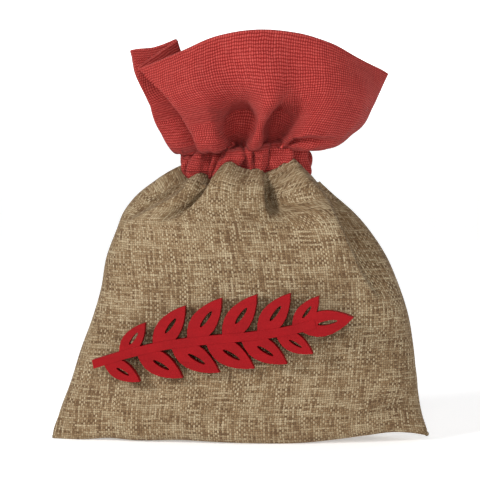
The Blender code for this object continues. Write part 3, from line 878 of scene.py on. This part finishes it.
# The upper edge of the roll at the collar's lower right, which hangs over it
COLLAR_STEPS = {
    "undercut": [
        (37, 106.3, 2.6, 0), (31, 106.6, 3, -4), (25, 106.9, 3, -8), (18.6, 106.4, 3, -9.5),
        (16.8, 104.8, 2.4, -7), (15.6, 103, 2, -2),
    ],
}
COLLAR_EACH = 20  # columns from one station to the next
ROWS_DENSER = 1.15  # over 1, the rows lie closer together towards the neck
CREASE_FADE = 0.2  # how much less sharp a station's crease is at each level further down
GATHERS, GATHER_FADE = 26, 0.14  # how many fine gathers, and how far up they reach
GATHER_OUT, GATHER_OUT_BEHIND = 0.6, 0.7  # in mm; behind, the second is added
COLLAR_RIPPLES = ((22, 0.8, 2), (8, 0.3, 7))  # (wavelength, height, seed) of unevenness
BOW = 1.3  # how far the left outline bows outwards below the rim, in mm


def collar_ring(rows=84):
    """Grid of the whole collar, from neck to rim, in mm. Its last column repeats its first."""
    stations = list(COLLAR.values())
    sharp = np.array([s[-1] for s in stations])
    places = np.linspace(0, len(stations), len(stations) * COLLAR_EACH + 1)
    levels = []
    for k in range(len(COLLAR_LEVELS)):
        points = np.array([s[k] for s in stations], float)
        levels.append(closed_curve(points, sharp * (1 - CREASE_FADE * k), places))
    table = [(level, *curve.ravel()) for level, curve in zip(COLLAR_LEVELS[::-1], levels[::-1])]
    up = np.linspace(0, 1, rows) ** ROWS_DENSER
    ring = smooth(table, up).reshape(rows, len(places), 3)
    normal = surface_normals(ring, closed=True)
    x, y, z = ring[..., 0], ring[..., 1], ring[..., 2]
    in_front = np.clip((-y - 6) / 6, 0, 1)
    moved = all_folds(COLLAR_RIDGES, COLLAR_CREASES, {}, x, z) * in_front
    undercut = all_folds({}, {}, COLLAR_STEPS, x, z) * in_front
    up = up[:, None]
    turn = np.arctan2(y, x - 1.5)
    height = GATHER_OUT + GATHER_OUT_BEHIND * np.clip(y / 8, 0, 1)
    uneven = np.sin(GATHERS * turn + 2.5 * np.sin(3 * turn))
    moved = moved + uneven * np.exp(-up / GATHER_FADE) * height
    for wavelength, size, seed in COLLAR_RIPPLES:
        moved = moved + ripple(ring, wavelength, size, seed)
    near_left = np.clip((-x - 18) / 10, 0, 1) * np.clip((y + 9) / 5, 0, 1)
    ring = ring + normal * moved[..., None]
    ring[..., 1] -= undercut
    ring[..., 0] -= BOW * np.clip((up - 0.5) * (1 - up) * 16, 0, 1) * near_left
    ring[:, -1] = ring[:, 0]
    return ring


# For each collar half, the place in y where it would stay with the sack, and the one where it
# would move wholly with its flap. make_collar unpacks them but bends neither half. The front is
# towards -Y.
FRONT_BEND, BACK_BEND = (-10 * MM, -24 * MM), (1 * MM, 24 * MM)
PRESSED, PRESSED_COLUMNS = 0.65, 7  # how much thinner cloth is in a pressed fold, and how near


def make_collar():
    ring = collar_ring() * MM
    uv, normals = cloth_uv(ring), surface_normals(ring, closed=True)
    seam = RIGHT_SEAM * COLLAR_EACH
    parts = {
        "collar_front": (slice(0, seam + 1), "front_flap", FRONT_BEND),
        "collar_back": (slice(seam, None), "back_flap", BACK_BEND),
    }
    every, last = np.arange(ring.shape[1]), ring.shape[1] - 1
    fold = list(COLLAR).index("front_fold") * COLLAR_EACH
    folded = (fold, 0, seam, last)
    pressed = [np.exp(-(((every - k) / PRESSED_COLUMNS) ** 2)) for k in folded]
    thickness = RED_T * (1 - PRESSED * np.max(pressed, axis=0))
    for name, (cut, body, (still_y, moving_y)) in parts.items():
        half = cloth_shell(
            name + "_cloth", ring[:, cut], normals[:, cut], thickness[cut], uv[:, cut], red
        )
        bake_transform(half)
        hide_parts(name)
    for word, column in (("left", 0), ("right", seam)):
        inwards = normals[4:-2, column] * (thickness[column] + THREAD_R * 0.4)
        seam_thread = stitches(
            f"collar_{word}_stitches", [ring[4:-2, column] - inwards], red_thread
        )
        add(seam_thread, "red_thread", f"collar_{word}_seam_thread")


# ---------------------------------------------------------------- casing


# Creases between the casing's puffs, in mm: place across the neck at its foot, and at its top
FRONT_CREASES = [
    (-16.2, -13.4), (-11.6, -8.6), (-9.2, -5.4), (0.8, 1.6), (5.4, 4.4), (8.6, 10.4), (19.6, 15.6),
]
BACK_CREASES = [
    (20, 18.5), (15.5, 16), (9, 10), (5.5, 4), (0.5, 1.5), (-4.5, -5.5), (-9.5, -8), (-13, -14),
    (-17.5, -17),
]
CASING_MIDDLE, CASING_HALF, CASING_DEPTH = 1.4, 19.4, 10.4
CASING_LOW, CASING_HIGH = 91.3, 103
CREST_X, CREST_RISE = 13, 1.6  # the casing's top edge is higher here
# Distances outwards from the ring that the casing is built on
CREASE_OUT = -1.5  # the outer wall in a crease
PUFF_OUT = 5.7  # how much further out the outer wall is on a puff
INSIDE_OUT = -5.0
ELASTIC_OUT = -2.3
OVERLAP_OUT = ELASTIC_OUT - 0.75
STITCHES_OUT, STITCHES_Z = -2.4, 92.3
ELASTIC_LOW, ELASTIC_HIGH = 94.6, 99.8
PUCKERS = 40  # fine puckers round the inside
# (wavelength, height, seed, squeeze) of the small wrinkles. A squeeze under 1 draws them out in z.
WRINKLES = ((3.4, 1.9, 11, 0.6), (6, 1.6, 17, 0.8))
WRINKLES_INSIDE = 0.15  # share of their height that they have on the inside


def casing_angle(x, side):
    """Angle on the ring, from its left end round the front, of a point this far across."""
    angle = math.acos(max(-1, min(1, (CASING_MIDDLE - x) / CASING_HALF)))
    return angle if side == FRONT else 2 * math.pi - angle


def ring_points(angle, radial, z):
    """Points round the neck, this far outside the middle of the casing."""
    x = CASING_MIDDLE - (CASING_HALF + radial) * np.cos(angle)
    y = -(CASING_DEPTH + radial) * np.sin(angle)
    return np.stack(np.broadcast_arrays(x, y, z), axis=2)


def casing_ring(rows=56, columns=721):
    """Grid of the tunnel, in mm. Its rows run up the outside, over and down the inside."""
    angle = np.linspace(0, 2 * math.pi, columns)[None, :]
    round_it = np.linspace(-0.46 * math.pi, 1.46 * math.pi, rows)[:, None]
    up = 0.5 + 0.5 * np.sign(np.sin(round_it)) * np.abs(np.sin(round_it)) ** 0.8
    pairs = [(0, 0)]
    pairs += [tuple(casing_angle(x, FRONT) for x in pair) for pair in FRONT_CREASES]
    pairs += [(math.pi, math.pi)]
    pairs += [tuple(casing_angle(x, BACK) for x in pair) for pair in BACK_CREASES]
    pairs = np.array(pairs + [(2 * math.pi, 2 * math.pi)])
    puff = np.zeros((rows, columns))
    for k in range(rows):
        creases = pairs[:, 0] + (pairs[:, 1] - pairs[:, 0]) * up[k, 0]
        i = np.clip(np.searchsorted(creases, angle[0], side="right") - 1, 0, len(creases) - 2)
        width = creases[i + 1] - creases[i]
        t = np.clip((angle[0] - creases[i]) / width, 0, 1) ** np.where(i % 2, 0.75, 1.3)
        puff[k] = (4 * t * (1 - t)) ** 0.7 * np.minimum(1, 0.35 + width / 0.6)
    outward = np.cos(round_it)
    outer = np.abs(outward) ** 0.6
    pucker = np.sin(PUCKERS * angle + 3 * np.sin(5 * angle))
    radial = outer * np.where(outward > 0, CREASE_OUT + PUFF_OUT * puff, INSIDE_OUT + pucker)
    off_crest = (angle - casing_angle(CREST_X, FRONT)) / 0.4
    crest = CASING_HIGH + CREST_RISE * np.exp(-(off_crest**2))
    points = ring_points(angle, radial, CASING_LOW + (crest - CASING_LOW) * up)
    wrinkles = 0
    for wavelength, height, seed, squeeze in WRINKLES:
        wrinkles = wrinkles + ripple(points * [1, 1, squeeze], wavelength, height, seed)
    wrinkles = wrinkles * np.where(outward > 0, outer, WRINKLES_INSIDE)
    points = points + surface_normals(points) * wrinkles[..., None]
    points[:, -1] = points[:, 0]
    return points


def make_casing():
    ring = casing_ring() * MM
    uv, normals = cloth_uv(ring), surface_normals(ring, closed=True)
    half = ring.shape[1] // 2
    for word, columns in (("front", slice(0, half + 1)), ("back", slice(half, None))):
        name = f"casing_{word}_cloth"
        part, outwards = ring[:, columns], normals[:, columns]
        piece = cloth_shell(name, part, outwards, CASING_T, uv[:, columns], red)
        add(piece, "red_cloth", f"casing_{word}")
    angle = np.linspace(-0.5 * math.pi, 1.5 * math.pi, 361)[None, :]
    heights = np.linspace(ELASTIC_LOW, ELASTIC_HIGH, 8)[:, None]
    sway = 0.15 * np.sin(22 * angle)
    elastic = plain_material("elastic", (0.62, 0.61, 0.58), (0.80, 0.79, 0.76), 700.0, 0.7)
    for name, node, columns, out in (
        ("elastic_band", "neck_elastic", slice(None), ELASTIC_OUT),
        ("elastic_overlap", "elastic_lap", slice(0, 30), OVERLAP_OUT),
    ):
        grid = ring_points(angle[:, columns], out + sway[:, columns], heights) * MM
        add(open_sheet(name, grid, ELASTIC_T, elastic), "elastic", node)
    angle = np.linspace(0, 2 * math.pi, 361)[None, :]
    foot = ring_points(angle, STITCHES_OUT, STITCHES_Z) * MM
    add(stitches("casing_stitches", [foot[0]], red_thread), "red_thread", "casing_stitch_thread")


def make_neck_seam(grids):
    """The stitches that join burlap and red cloth, inside the burlap's upper edge."""
    paths = []
    for grid in grids.values():
        inwards = surface_normals(grid)[-5] * (BURLAP_T + THREAD_R)
        paths.append(grid[-5] - inwards)
    add(stitches("neck_join_stitches", paths, cream_thread), "thread", "neck_join_thread")


# ---------------------------------------------------------------- sprig


def make_sprig():
    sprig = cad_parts["wooden_sprig"]
    sprig.data.materials.clear()
    sprig.data.materials.append(painted_wood_material())
    sprig.modifiers.new("weld", "WELD").merge_threshold = 0.01 * MM
    bevel = sprig.modifiers.new("worn_edges", "BEVEL")
    bevel.width = 0.35 * MM
    bevel.segments = 2
    bevel.limit_method = "ANGLE"
    bevel.angle_limit = math.radians(40)
    glue = plain_material("glue", (0.60, 0.55, 0.44), (0.72, 0.68, 0.58), 300.0, 0.35)
    for k in (1, 2, 3):
        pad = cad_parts[f"glue_pad_{k}"]
        pad.data.materials.clear()
        pad.data.materials.append(glue)


# ---------------------------------------------------------------- stage


def glowing_plane(name, size, place, tilt, glow):
    """A plane that gives off white light of its own, and its material's nodes."""
    bpy.ops.mesh.primitive_plane_add(size=size, location=place, rotation=(tilt, 0, 0))
    plane = bpy.context.object
    plane.name = name
    n = Nodes(name)
    n.shader.inputs["Emission Color"].default_value = (1, 1, 1, 1)
    n.shader.inputs["Emission Strength"].default_value = glow
    plane.data.materials.append(n.material)
    return plane, n


def make_stage():
    floor, n = glowing_plane("floor", 6, (0, 0, 0), 0, glow=0.4)
    n.shader.inputs["Base Color"].default_value = (0.95, 0.95, 0.95, 1)
    n.shader.inputs["Roughness"].default_value = 1.0
    n.shader.inputs["Specular IOR Level"].default_value = 0.0
    backdrop, _ = glowing_plane("backdrop", 8, (0, 2.8, 0), math.radians(90), glow=1.0)
    world = bpy.data.worlds.new("studio")
    bpy.context.scene.world = world
    world.use_nodes = True
    background = world.node_tree.nodes["Background"]
    background.inputs[0].default_value = (1, 1, 1, 1)
    background.inputs[1].default_value = 0.25
    for name, place, size, power in (
        ("left", (-0.72, -0.7, 0.45), 0.25, 8.5),
        ("right", (0.8, -0.6, 0.1), 0.3, 2.3),
        ("front", (0.1, -1.3, 0.5), 0.4, 6.5),
    ):
        light = bpy.data.lights.new(name, "AREA")
        light.size = size
        light.energy = power
        lamp = bpy.data.objects.new(name, light)
        lamp.location = place
        aim = Vector((0, 0, 0.07)) - Vector(place)
        lamp.rotation_euler = aim.to_track_quat("-Z", "Y").to_euler()
        bpy.context.scene.collection.objects.link(lamp)


VIEW_W = 0.1668  # width of the picture at the sack


def make_camera(azimuth=3.0, elevation=5.0, distance=1.1):
    """A long lens, seen from a little to the right and above."""
    a, e = math.radians(azimuth), math.radians(elevation)
    back = Vector((math.sin(a) * math.cos(e), -math.cos(a) * math.cos(e), math.sin(e)))
    target = Vector((0, -0.008, 0.0705))
    data = bpy.data.cameras.new("camera")
    data.lens = data.sensor_width * distance / VIEW_W
    camera = bpy.data.objects.new("camera", data)
    camera.location = target + back * distance
    camera.rotation_euler = (-back).to_track_quat("-Z", "Y").to_euler()
    bpy.context.scene.collection.objects.link(camera)
    bpy.context.scene.camera = camera


panels = make_body()
make_allowances(panels)
make_casing()
make_neck_seam(panels)
make_collar()
make_sprig()
bpy.context.scene.view_settings.view_transform = "Standard"
make_stage()
make_camera()
